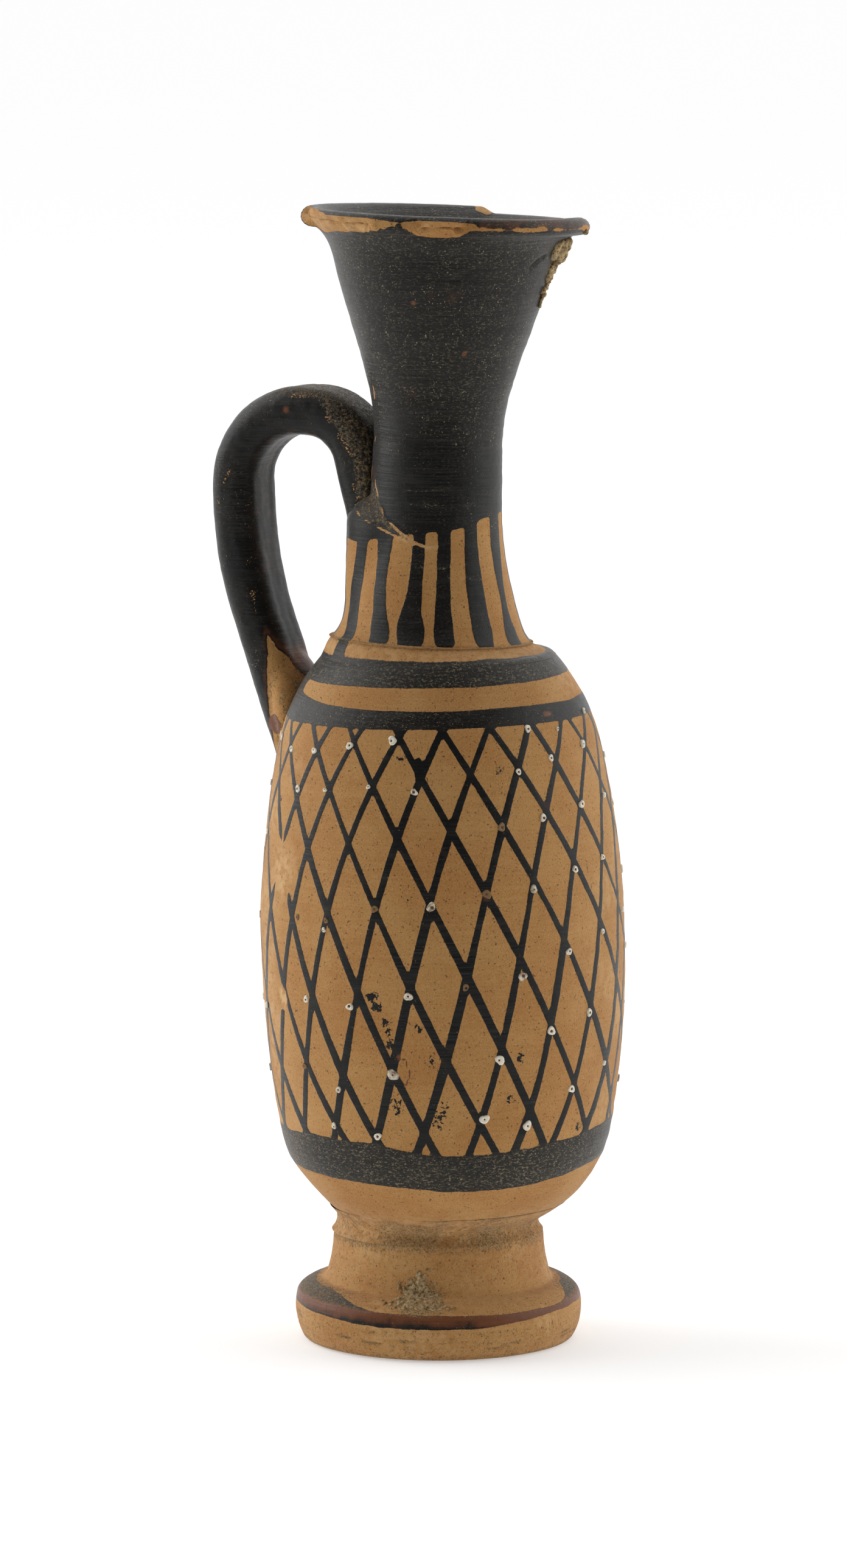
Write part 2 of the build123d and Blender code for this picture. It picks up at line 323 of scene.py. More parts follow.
def curve(x, xs, ys):
    """Smooth values through the points (xs, ys), held level beyond their ends."""
    xs = np.asarray(xs, float)
    ys = np.asarray(ys, float)
    slopes = np.gradient(ys, xs)
    x = np.clip(x, xs[0], xs[-1])
    k = np.clip(np.searchsorted(xs, x) - 1, 0, len(xs) - 2)
    width = xs[k + 1] - xs[k]
    t = (x - xs[k]) / width
    rise = ys[k + 1] - ys[k]
    left = slopes[k] * width
    right = slopes[k + 1] * width
    return ys[k] + t * (left + t * (3 * rise - 2 * left - right + t * (left + right - 2 * rise)))


def bend(t, start, lead, tail, end):
    """A smooth curve from a start to an end, pulled towards a lead and a tail on its way."""
    return (1 - t) ** 3 * start + 3 * t * (1 - t) ** 2 * lead + 3 * t**2 * (1 - t) * tail + t**3 * end


def around(angle, pairs):
    """A value that depends on the paint angle, through (angle, value) pairs and closed round the piece."""
    angles, values = np.array(sorted((wrapped(a), v) for a, v in pairs), float).T
    turns = np.concatenate([angles - 360, angles, angles + 360])
    return curve(wrapped(angle), turns, np.tile(values, 3))


def over_the_back(measured, count):
    """Paint angles of unseen copies, spaced evenly from the last measured one round the back to the first."""
    first = np.array(measured[0]) + 360
    last = np.array(measured[-1])
    return [last + (first - last) * k / (count + 1) for k in range(1, count + 1)]


def lattice(cells, seed):
    """Seeded random numbers from 0 to 1, one for each whole-number place."""
    n = cells.astype(np.uint32)
    h = n[..., 0] * np.uint32(374761393) + n[..., 1] * np.uint32(668265263)
    h = h + n[..., 2] * np.uint32(2246822519) + np.uint32(seed * 40503 + 977)
    h = (h ^ (h >> np.uint32(13))) * np.uint32(1274126177)
    return (h ^ (h >> np.uint32(16))).astype(float) / 2**32


def noise(points, size, seed):
    """A smooth random field from -1 to 1 with lumps of the given size, or sizes along X, Y and Z."""
    scaled = points / size
    cell = np.floor(scaled)
    t = scaled - cell
    t = t * t * (3 - 2 * t)
    cell = cell.astype(np.int64)
    total = 0
    for corner in itertools.product((0, 1), repeat=3):
        shares = np.where(corner, t, 1 - t)
        total = total + np.prod(shares, axis=-1) * lattice(cell + np.array(corner), seed)
    return 2 * total - 1


def fractal(points, size, seed, octaves=3):
    return sum(noise(points, size / 2**k, seed + k) / 2**k for k in range(octaves))


def hand_marks(points, seed):
    """Unevenness of thrown clay: slow wobble, wheel lines and grain."""
    slow = 0.13 * fractal(points, 15.0, seed, 2)
    wheel = 0.045 * noise(points, (30.0, 30.0, 1.3), seed + 5)
    grain = 0.022 * noise(points, 0.85, seed + 9)
    return slow + wheel + grain


def coat(gloss):
    """The thickness of the gloss."""
    return 0.03 * inside(gloss, 0.15)


def mesh_points(mesh):
    """A mesh's vertices, in millimetres."""
    flat = np.empty(3 * len(mesh.vertices), np.float32)
    mesh.vertices.foreach_get("co", flat)
    return flat.reshape(-1, 3).astype(float) / MM


def own_axes(node, lean, heading):
    """The turn and the origin of a turned node's own axes."""
    pivot = Vector((-math.sin(heading * RAD), math.cos(heading * RAD), 0))
    turn = np.array(Matrix.Rotation(lean * RAD, 3, pivot))
    own = mesh_points(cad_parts[node].data) @ turn
    low = own.min(0)
    middle = (low + own.max(0)) / 2
    return turn, turn @ np.array([middle[0], middle[1], low[2]])


def outline(node, turn, origin):
    """A turned node's (radius, height) outline along its seam, up the outside, and whether it is a loop."""
    near = 0.02
    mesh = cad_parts[node].data
    own = (mesh_points(mesh) - origin) @ turn
    on_seam = (np.abs(own[:, 1]) < near) & (own[:, 0] > -near)
    places = []
    label = {}
    for index in np.flatnonzero(on_seam):
        place = own[index][[0, 2]]
        found = [k for k, known in enumerate(places) if np.hypot(*(place - known)) < near]
        if not found:
            places.append(place)
        label[index] = found[0] if found else len(places) - 1
    neighbours = [set() for _ in places]
    for edge in mesh.edges:
        ends = [label.get(v) for v in edge.vertices]
        if None not in ends and ends[0] != ends[1]:
            neighbours[ends[0]].add(ends[1])
            neighbours[ends[1]].add(ends[0])
    ends = [k for k, others in enumerate(neighbours) if len(others) == 1]
    start = min(ends or range(len(places)), key=lambda k: (round(places[k][1], 1), -places[k][0]))
    order = [start]
    while True:
        onward = [k for k in neighbours[order[-1]] if k not in order]
        if not onward:
            break
        order.append(max(onward, key=lambda k: places[k][1]) if len(order) == 1 else onward[0])
    return np.array([places[k] for k in order]), not ends


def outline_rows(points, closed, shown_step, hidden_step):
    """Rows along an outline: smooth between its corners, and close together where it shows."""
    corner = 28 * RAD
    if closed:
        points = np.vstack([points, points[:1]])
    runs = np.diff(points, axis=0)
    lengths = np.hypot(*runs.T)
    headings = np.arctan2(runs[:, 1], runs[:, 0])
    bends = np.abs((np.diff(headings) + math.pi) % (2 * math.pi) - math.pi)
    breaks = [0, *(np.flatnonzero(bends > corner) + 1), len(points) - 1]
    rows = []
    for first, last in zip(breaks, breaks[1:]):
        span = points[first:last + 1]
        way = (span[-1] - span[0]) / lengths[first:last].sum()
        hidden = way[1] < -0.01 or way[0] > 0.98
        along = np.concatenate([[0], np.cumsum(lengths[first:last])])
        count = max(1, round(along[-1] / (hidden_step if hidden else shown_step)))
        at = np.linspace(0, along[-1], count, endpoint=False)
        rows.append(np.stack([curve(at, along, span[:, k]) for k in (0, 1)], -1))
    if not closed:
        rows.append(points[-1:])
    return np.vstack(rows)


class Turned:
    """A thrown piece as a grid: rows follow its outline up the outside, columns go round its axis."""

    def __init__(self, node, lean, columns, shown_step, hidden_step, crisp=()):
        self.turn, self.origin = own_axes(node, *lean)
        points, self.closed = outline(node, self.turn, self.origin)
        off_axis = points[:, 0] > 0.5
        rows = outline_rows(points[off_axis], self.closed, shown_step, hidden_step)
        kept = np.zeros((len(rows), 1), bool)
        for height in crisp:
            kept |= np.abs(rows[:, 1:] - height) < 0.4
        if not self.closed:
            kept[[0, -1]] = True
        for _ in range(2):
            eased = (np.roll(rows, 1, 0) + 2 * rows + np.roll(rows, -1, 0)) / 4
            rows = np.where(kept, rows, eased)
        if self.closed:
            ways = np.roll(rows, -1, 0) - np.roll(rows, 1, 0)
        else:
            ways = np.gradient(rows, axis=0)
        ways = ways / np.hypot(*ways.T)[:, None]
        steps = np.hypot(*np.diff(rows, axis=0).T)
        self.r, self.h = rows.T[:, :, None]
        self.out, self.up = ways[:, 1:], -ways[:, :1]
        self.s = np.concatenate([[0], np.cumsum(steps)])[:, None]
        self.a = np.linspace(-180, 180, columns, endpoint=False)[None, :]
        self.shape = (len(rows), columns)
        self.outside = self.out > -0.01
        self.outer = slice(0, int(np.argmax(self.h)) + 1)
        self.points = self.own(0)

    def own(self, relief, lift=0):
        """Points in the piece's own axes, moved out by a relief and up by a lift."""
        radius = self.r + relief * self.out
        theta = (self.a + FRONT) * RAD
        height = self.h + relief * self.up + lift
        return np.stack(np.broadcast_arrays(radius * np.cos(theta), radius * np.sin(theta), height), -1)

    def across(self, angle):
        """How far round the piece each point lies from a paint angle."""
        return wrapped(self.a - angle) * RAD * self.r

    def spot(self, angle, height, wide, tall, soft):
        """A patch that is 1 in its middle and fades to 0 at its half-width and half-height."""
        reach = np.hypot(self.across(angle) / wide, (self.h - height) / tall)
        return (1 - ramp(1 - soft, 1.0, reach)) * self.outside

    def from_route(self, route):
        """The distance of each point from a line through (angle, height) places."""
        return np.minimum.reduce([
            from_segment(self.across(a0), self.h - h0, wrapped(a1 - a0) * RAD * self.r, h1 - h0)
            for (a0, h0), (a1, h1) in zip(route, route[1:])
        ])

    def line(self, route, width):
        """A line through (angle, height) places: 1 along its middle, fading to 0 at its sides."""
        return np.exp(-((self.from_route(route) / width) ** 2)) * self.outside

    def at_height(self, height, values):
        """What a row's value is on the outside at a height."""
        return np.interp(height, self.h[self.outer, 0], values[self.outer, 0])

    def height_under(self, radius):
        """The height on the underside, below the widest place, where the outside has a radius."""
        lower = slice(0, int(np.argmax(self.r)) + 1)
        return np.interp(radius, self.r[lower, 0], self.h[lower, 0])

    def surface(self, angle, height):
        """A place on the outside for each angle, in the frame, and the directions round, up and out."""
        theta = (np.asarray(angle) + FRONT) * RAD
        radial = np.stack([np.cos(theta), np.sin(theta), 0 * theta], -1)
        round_way = np.stack([-np.sin(theta), np.cos(theta), 0 * theta], -1)
        out = radial * self.at_height(height, self.out) + (0, 0, self.at_height(height, self.up))
        place = radial * self.at_height(height, self.r) + (0, 0, height)
        ways = [way @ self.turn.T for way in (round_way, np.cross(out, round_way), out)]
        return place @ self.turn.T + self.origin, *ways

    def dress(self, name, nodes, slot, material, shaped, **fields):
        """Puts the piece in the model, from points in its own axes and a value of each field at them."""
        piece = woven(name, shaped @ self.turn.T + self.origin, self.closed, fields)
        put_on(piece, nodes, material)


def woven(name, grid, closed, fields):
    """A closed mesh object from rows and columns of points, with a value of each field at its vertices."""
    rows, columns, _ = grid.shape
    points = grid.reshape(-1, 3)
    row = np.arange(rows if closed else rows - 1)[:, None]
    column = np.arange(columns)[None, :]
    low, high = row * columns, (row + 1) % rows * columns
    beside = (column + 1) % columns
    quads = np.stack(np.broadcast_arrays(low + column, low + beside, high + beside, high + column), -1)
    faces = quads.reshape(-1, 4).tolist()
    u0, u1 = column / columns, (column + 1) / columns
    v0, v1 = (row + 1) / (rows + 1), (row + 2) / (rows + 1)
    us = np.stack(np.broadcast_arrays(u0, u1, u1, u0, v0)[:4], -1).reshape(-1)
    vs = np.stack(np.broadcast_arrays(v0, v0, v1, v1, u0)[:4], -1).reshape(-1)
    maps = [np.stack([us, vs], -1)]
    values = {key: np.broadcast_to(field, (rows, columns)).reshape(-1) for key, field in fields.items()}
    if not closed:
        points = np.vstack([points, grid[0].mean(0), grid[-1].mean(0)])
        base = (rows - 1) * columns
        for j in range(columns):
            k = (j + 1) % columns
            faces.append((rows * columns, k, j))
            faces.append((rows * columns + 1, base + j, base + k))
            near, far = j / columns, (j + 1) / columns
            maps.append([((near + far) / 2, 0), (far, 1 / (rows + 1)), (near, 1 / (rows + 1))])
            maps.append([((near + far) / 2, 1), (near, rows / (rows + 1)), (far, rows / (rows + 1))])
        values = {key: np.append(value, [value[0], value[-1]]) for key, value in values.items()}
    mesh = bpy.data.meshes.new(name)
    mesh.from_pydata((points * MM).tolist(), [], faces)
    mesh.uv_layers.new(name="OFBake").data.foreach_set("uv", np.vstack(maps).astype(np.float32).ravel())
    return finished(name, mesh, values)


def placed(name, data):
    """A new object of some data, in the scene."""
    made = bpy.data.objects.new(name, data)
    bpy.context.scene.collection.objects.link(made)
    return made


def finished(name, mesh, values):
    """A smooth-shaded object of a mesh, with a value of each field at its vertices."""
    for key, value in values.items():
        mesh.attributes.new(key, "FLOAT", "POINT").data.foreach_set("value", value.astype(np.float32))
    mesh.polygons.foreach_set("use_smooth", np.ones(len(mesh.polygons), bool))
    mesh.update()
    mesh.set_sharp_from_angle(angle=SHARP_FROM * RAD)
    return placed(name, mesh)


def remeshed(name, source, voxel, passes):
    """What is in a bmesh, rebuilt as one skin of even small faces with softened edges."""
    mesh = bpy.data.meshes.new(name + "_draft")
    source.to_mesh(mesh)
    source.free()
    draft = placed(name, mesh)
    remesh = draft.modifiers.new("remesh", "REMESH")
    remesh.mode = "VOXEL"
    remesh.voxel_size = voxel * MM
    smooth = draft.modifiers.new("smooth", "SMOOTH")
    smooth.factor = 0.5
    smooth.iterations = passes
    depsgraph = bpy.context.evaluated_depsgraph_get()
    made = bpy.data.meshes.new_from_object(draft.evaluated_get(depsgraph))
    bpy.data.objects.remove(draft)
    made.name = name
    return made


def srgb(red, green, blue):
    """A colour picked in 8-bit display values, as the linear values that a shader takes."""
    shares = [c / 255 for c in (red, green, blue)]
    return (*(c / 12.92 if c <= 0.04045 else ((c + 0.055) / 1.055) ** 2.4 for c in shares), 1.0)


CLAY_TAN = srgb(176, 132, 78)
CLAY_ORANGE = srgb(166, 118, 65)
CLAY_PALE = srgb(196, 158, 110)
CLAY_DARK = srgb(98, 65, 39)
GLOSS_BLACK = srgb(14, 13, 12)
GLOSS_GREY = srgb(36, 35, 32)
GLOSS_BROWN = srgb(106, 62, 36)
FILM_OLIVE = srgb(134, 124, 100)
MOTE_PALE = srgb(172, 160, 128)
SOIL_AND_SHADE_TAN = srgb(160, 134, 94)
SOIL_AND_SHADE_DARK = srgb(82, 66, 44)
CHALK = srgb(224, 216, 198)
CHALK_FADED = srgb(120, 94, 62)


class Graph:
    """The node tree of a material or a world, written as formulas. Sizes of patterns are millimetres."""

    def __init__(self, owner):
        owner.use_nodes = True
        self.tree = owner.node_tree
        self.tree.nodes.clear()
        self.places = self.node("ShaderNodeTexCoord").outputs

    def node(self, kind, inputs=None, **settings):
        made = self.tree.nodes.new(kind)
        for key, value in settings.items():
            setattr(made, key, value)
        for socket, value in (inputs or {}).items():
            if isinstance(value, bpy.types.NodeSocket):
                self.tree.links.new(value, made.inputs[socket])
            else:
                made.inputs[socket].default_value = value
        return made

    def field(self, name):
        return self.node("ShaderNodeAttribute", attribute_name=name).outputs["Fac"]

    def math(self, operation, first, second):
        return self.node("ShaderNodeMath", {0: first, 1: second}, operation=operation).outputs[0]

    def add(self, *values):
        total = values[0]
        for value in values[1:]:
            total = self.math("ADD", total, value)
        return total

    def times(self, first, second):
        return self.math("MULTIPLY", first, second)

    def step(self, value, low, high):
        inputs = {"Value": value, "From Min": low, "From Max": high}
        return self.node("ShaderNodeMapRange", inputs, interpolation_type="SMOOTHSTEP").outputs["Result"]

    def noise(self, size, stretch=(1, 1, 1), detail=2.0, rough=0.5):
        scale = [1 / (MM * size * along) for along in stretch]
        scaled = self.node("ShaderNodeVectorMath", {0: self.places["Object"], 1: scale}, operation="MULTIPLY")
        inputs = {"Vector": scaled.outputs[0], "Scale": 1.0, "Detail": detail, "Roughness": rough}
        return self.node("ShaderNodeTexNoise", inputs).outputs["Fac"]

    def uneven(self, *settings, **more):
        """Noise about 0."""
        return self.add(self.noise(*settings, **more), -0.5)

    def mix(self, share, first, second):
        made = self.node("ShaderNodeMix", {0: share, 6: first, 7: second}, data_type="RGBA")
        return made.outputs[2]

    def blend(self, share, first, second):
        return self.node("ShaderNodeMix", {0: share, 2: first, 3: second}).outputs[0]

    def surface(self, colour, roughness, height, specular, sheen=0.0):
        """Closes a material with a bump height in millimetres, and a bloom of fine dust as sheen."""
        bump = self.node("ShaderNodeBump", {"Height": height, "Distance": MM, "Strength": 1.0})
        inputs = {"Base Color": colour, "Roughness": roughness, "Normal": bump.outputs[0]}
        inputs.update({"Specular IOR Level": specular, "Sheen Weight": sheen})
        self.close("Material", "BsdfPrincipled", inputs)

    def close(self, kind, shader, inputs):
        """Closes the tree with a shader."""
        made = self.node("ShaderNode" + shader, inputs)
        self.node("ShaderNodeOutput" + kind, {"Surface": made.outputs[0]})


def painted_clay():
    """Fired clay under black gloss, with wear, dust and soil, painted shade carried with the soil, and
    painted sheen in some pale patches, all led by values at the vertices.
    """
    material = bpy.data.materials.new("painted_clay")
    g = Graph(material)
    names = ("gloss", "wear", "thin", "dust", "soil", "pale", "smudge")
    gloss, wear, thin, dust, soil, pale, smudge = (g.field(name) for name in names)

    patches = g.noise(9.0, detail=4.0)
    streaks = g.noise(0.8, stretch=(12, 12, 0.5), detail=3.0)
    grain = g.noise(0.2, detail=3.0, rough=0.65)
    specks = g.noise(0.34, detail=1.0)
    tone = g.step(g.add(patches, g.times(g.add(streaks, -0.5), 0.4)), 0.32, 0.68)
    clay = g.mix(tone, CLAY_ORANGE, CLAY_TAN)
    clay = g.mix(g.times(g.step(grain, 0.53, 0.74), 0.6), clay, CLAY_PALE)
    clay = g.mix(g.times(g.step(grain, 0.46, 0.28), 0.65), clay, CLAY_DARK)
    clay = g.mix(g.times(g.step(specks, 0.67, 0.73), 0.85), clay, CLAY_DARK)
    clay = g.mix(g.times(pale, g.step(g.noise(1.1, detail=4.0), 0.36, 0.62)), clay, CLAY_PALE)

    painted = g.step(g.add(gloss, g.times(g.uneven(0.35), 0.16)), -0.04, 0.04)
    flecks = g.step(g.add(g.noise(0.5, detail=3.0, rough=0.6), g.times(smudge, 0.3)), 0.66, 0.7)
    covered = g.math("MAXIMUM", painted, g.times(flecks, g.step(smudge, 0.05, 0.3)))
    rubbed = g.step(g.add(g.noise(0.26, detail=3.0, rough=0.6), g.times(wear, 0.25)), 0.74, 0.79)
    coat_left = g.times(covered, g.math("SUBTRACT", 1.0, rubbed))
    haze = g.times(g.step(g.noise(1.1, stretch=(5, 5, 1), detail=3.0), 0.45, 0.75), 0.6)
    black = g.mix(haze, GLOSS_BLACK, GLOSS_GREY)
    black = g.mix(g.step(g.add(thin, g.times(g.noise(1.6, detail=4.0), 0.7)), 0.62, 1.2), black, GLOSS_BROWN)
    powder = g.step(g.noise(0.26, stretch=(1.8, 1.8, 0.9), detail=3.0, rough=0.7), 0.5, 0.72)
    motes = g.times(g.step(g.noise(0.26, detail=1.0), 0.68, 0.72), g.step(dust, 0.0, 0.3))
    motes = g.times(motes, g.step(g.noise(2.6, detail=3.0), 0.42, 0.6))
    film = g.times(dust, g.add(g.times(powder, 0.85), 0.04))
    black = g.mix(film, black, FILM_OLIVE)
    black = g.mix(g.times(motes, 0.75), black, MOTE_PALE)
    colour = g.mix(coat_left, clay, black)

    # Soil, and painted shade where the field asks for it, turn the colour towards soil tones
    crumbs = g.noise(0.42, detail=4.0, rough=0.7)
    soiled_and_shaded = g.step(g.add(soil, g.times(g.add(crumbs, -0.5), 1.8)), 0.35, 0.75)
    soiled_and_shaded = g.times(g.times(soiled_and_shaded, g.step(soil, 0.02, 0.25)), 0.75)
    soil_and_shade_colour = g.mix(g.step(g.noise(0.22), 0.36, 0.58), SOIL_AND_SHADE_DARK, SOIL_AND_SHADE_TAN)
    colour = g.mix(soiled_and_shaded, colour, soil_and_shade_colour)

    polished = g.blend(film, g.blend(haze, 0.4, 0.5), 0.65)
    roughness = g.blend(soiled_and_shaded, g.blend(coat_left, 0.78, polished), 0.95)
    height = g.add(
        g.times(coat_left, 0.02),
        g.times(grain, g.blend(coat_left, 0.05, 0.02)),
        g.times(streaks, g.blend(coat_left, 0.03, 0.12)),
        g.times(g.step(specks, 0.66, 0.76), -0.03),
        g.times(film, 0.02),
        g.times(g.times(soiled_and_shaded, crumbs), 0.14),
    )
    g.surface(colour, roughness, height, specular=0.18, sheen=0.08)
    return material


def chalk_white():
    """Chalky white paint, brown and thin where it has been rubbed."""
    material = bpy.data.materials.new("chalk_white")
    g = Graph(material)
    fade = g.add(g.field("fade"), g.times(g.uneven(0.5, detail=3.0), 0.9))
    pit = g.add(g.field("pit"), g.times(g.uneven(0.3), 0.8))
    colour = g.mix(g.step(fade, 0.15, 0.65), CHALK, CHALK_FADED)
    colour = g.mix(g.step(pit, 0.5, 0.8), colour, CLAY_DARK)
    g.surface(colour, 0.85, g.times(g.noise(0.25, detail=3.0), 0.05), specular=0.3)
    return material


def burial_crust():
    """Sandy soil that has set hard, with dark pits between its grains."""
    material = bpy.data.materials.new("burial_crust")
    g = Graph(material)
    grains = g.noise(0.5, detail=4.0, rough=0.7)
    colour = g.mix(g.step(grains, 0.36, 0.5), SOIL_AND_SHADE_DARK, SOIL_AND_SHADE_TAN)
    colour = g.mix(g.times(g.step(grains, 0.5, 0.62), 0.9), colour, MOTE_PALE)
    g.surface(colour, 0.92, g.times(grains, 0.15), specular=0.3)
    return material


def put_on(piece, nodes, material):
    """Puts a piece in the model in place of the nodes that are named, which it hides, and gives it a
    material.
    """
    if nodes:
        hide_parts(*nodes)
    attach(piece, BODY)
    piece.data.materials.clear()
    piece.data.materials.append(material)


def net_strokes(measured, at_back, seed):
    """Every stroke one way: the measured ones, then the unseen ones spaced over the back."""
    uneven = BACK_UNEVENNESS * (2 * lattice(np.arange(3 * at_back).reshape(-1, 3), seed)[:, None] - 1)
    return np.vstack([measured, over_the_back(measured, at_back) + uneven])


def stroke_angles(body, strokes):
    """A smooth path for each stroke: its paint angle as a cubic of the distance along the outline."""
    at = body.at_height(NET_HEIGHTS, body.s)
    return [np.poly1d(np.polyfit(at, angles, 3)) for angles in strokes]


def net_gloss(body, paths, seed):
    """How far inside a brush stroke each point of the body lies."""
    best = np.full(body.shape, -50.0)
    width = np.interp(body.h, NET_HEIGHTS[::-1], STROKE_WIDTHS[::-1])
    for k, path in enumerate(paths):
        slope = path.deriv()(body.s) * RAD * body.r
        offset = body.across(path(body.s)) / np.hypot(1, slope)
        wander = np.concatenate([body.s, 0 * body.s + 37 * k, 0 * body.s], -1)
        uneven = 1 + 0.22 * noise(wander, 11.0, seed) + 0.07 * noise(wander, 2.5, seed + 1)
        best = np.maximum(best, width / 2 * uneven[:, None] - np.abs(offset))
    return best


def net_crossings(body, falling, rising):
    """The (angle, height) place of each crossing of the net."""
    heights = body.h[body.outer, 0]
    shown = (heights > 15.5) & (heights < 71.5)
    heights, along = heights[shown], body.s[body.outer, 0][shown]
    found = []
    for down, up in itertools.product(falling, rising):
        for turn in (-360, 0, 360):
            gap = down(along) - up(along) + turn
            for k in np.flatnonzero(gap[:-1] * gap[1:] < 0):
                found.append((float(down(along[k])), float(heights[k])))
    return found


def make_body(material):
    body = Turned("body", BODY_LEAN, columns=408, shown_step=0.43, hidden_step=3.2)
    falling = stroke_angles(body, net_strokes(FALLING_STROKES, FALLING_AT_BACK, 11))
    rising = stroke_angles(body, net_strokes(RISING_STROKES, RISING_AT_BACK, 12))
    a, h, p = body.a, body.h, body.points
    brush = 0.1 * noise(p, 5.0, 21) + 0.05 * noise(p, 1.4, 22)

    net = np.maximum(net_gloss(body, falling, 31), net_gloss(body, rising, 33))
    angle, height, wide, tall = BLOT
    blot = 1.0 - np.hypot(body.across(angle) / wide, (h - height) / tall)
    thick = THICK_HALF - body.from_route(THICK_STROKE)
    leaf = LEAF_HALF - body.from_route(LEAF_MARK)
    net = np.minimum(np.maximum.reduce([net, blot, thick, leaf]), np.minimum(h - NET_LOW, NET_HIGH - h))

    stripe_middle = (STRIPE_START + STRIPE_END) / 2
    stripe_half = (STRIPE_END - STRIPE_START) / 2
    stripe_ends = (stripe_half - np.abs(wrapped(a - stripe_middle))) * RAD * body.r
    stripe_sides = np.minimum(h - around(a, STRIPE_LOW), STRIPE_HIGH + 0.3 * ramp(20, 70, a) - h)
    stripe = -smooth_max(-stripe_sides, -stripe_ends, 0.8) + brush
    shoulder = np.minimum(h - SHOULDER_BAND_LOW + brush, -stripe)
    base = np.minimum(h - around(a, BASE_BAND_LOW), around(a, BASE_BAND_TOP) - h) + 2.0 * brush
    scrape = body.spot(*SCRAPE, soft=0.7) * (0.75 + 0.5 * noise(p, (1.2, 1.2, 3.5), 44))
    scrape = np.maximum(scrape, 0.9 * body.spot(*SMALL_SCRAPE, soft=0.5))
    gloss = np.maximum.reduce([net, shoulder, base]) - 1.4 * scrape
    gloss = np.where(body.outside, gloss, BARE)

    bands = inside(np.maximum(shoulder, base))
    low_band = inside(base)
    upper = ramp(76.5, 77.5, h)
    wear = 0.2 + 0.12 * bands + 0.25 * ramp(-45, -75, a) * low_band
    dust = inside(shoulder) * (0.35 + 0.45 * upper - 0.2 * (1 - upper) * ramp(-5, 20, a))
    dust = dust + low_band * (0.95 + 0.35 * noise(p, 6.0, 46)) + 0.1 * noise(p, 5.0, 48) * bands
    thin = 0.75 * body.spot(*THIN_CROSSING, soft=0.9) + 0.8 * body.spot(*THIN_BAND, soft=0.8)
    thin = thin + 0.3 * ramp(0.3, 0.8, noise(p, 7.0, 45)) * (1 - bands) + 0.9 * body.line(LEAF_MARK, 0.35)
    soil = 0.45 * ramp(4.4, 1.8, h) + 0.25 * ramp(79.3, 80.6, h)
    soil = soil + 0.4 * body.spot(*STAIN, soft=0.9) + 0.7 * body.spot(*SOILED_SIDE, soft=0.5)
    pale = scrape + 0.5 * ramp(6.0, 2.0, h)
    # Paler patches towards both sides of the vessel as seen from the front: painted sheen
    pale = pale + 0.5 * ramp(35, 75, np.abs(a)) * ramp(-0.2, 0.6, noise(p, 6.0, 47))
    smudge = 0.8 * body.line(HAIR_MARK, 0.35)
    for *place, strength in SMUDGES:
        smudge = np.maximum(smudge, strength * body.spot(*place, soft=0.8))
    relief = hand_marks(p, 51) - 0.5 * body.spot(*SLIM_SIDE, soft=0.9)
    relief = relief - 0.14 * scrape * (1 + 0.5 * noise(p, 1.1, 52))
    relief = relief * ramp(0.0, 2.0, body.s) + coat(gloss)
    body.dress(
        "painted_body", ["body"], "clay", material, body.own(relief),
        gloss=gloss, wear=wear, thin=thin, dust=dust, soil=soil, pale=pale, smudge=smudge,
    )
    return body, net_crossings(body, falling, rising)


def handle_swell(neck):
    """How far the clay pressed round the handle's end stands out of the neck."""
    shoulder = np.clip(neck.h - (PAD_HEAD - PAD_CROWN), 0, PAD_CROWN)
    reach = PAD_RADIUS - PAD_CROWN + np.sqrt(PAD_CROWN**2 - shoulder**2)
    turn = wrapped(neck.a + FRONT - PAD_HEADING) * RAD
    side = PAD_OFFSET * np.sin(turn)
    pad = PAD_OFFSET * np.cos(turn) + np.sqrt(np.maximum(reach**2 - side**2, 0))
    pad = pad - 9.0 * ramp(PAD_HEAD - 0.5, PAD_HEAD + 1.5, neck.h)
    return smooth_max(pad - neck.r, 0, 0.7) * neck.outside


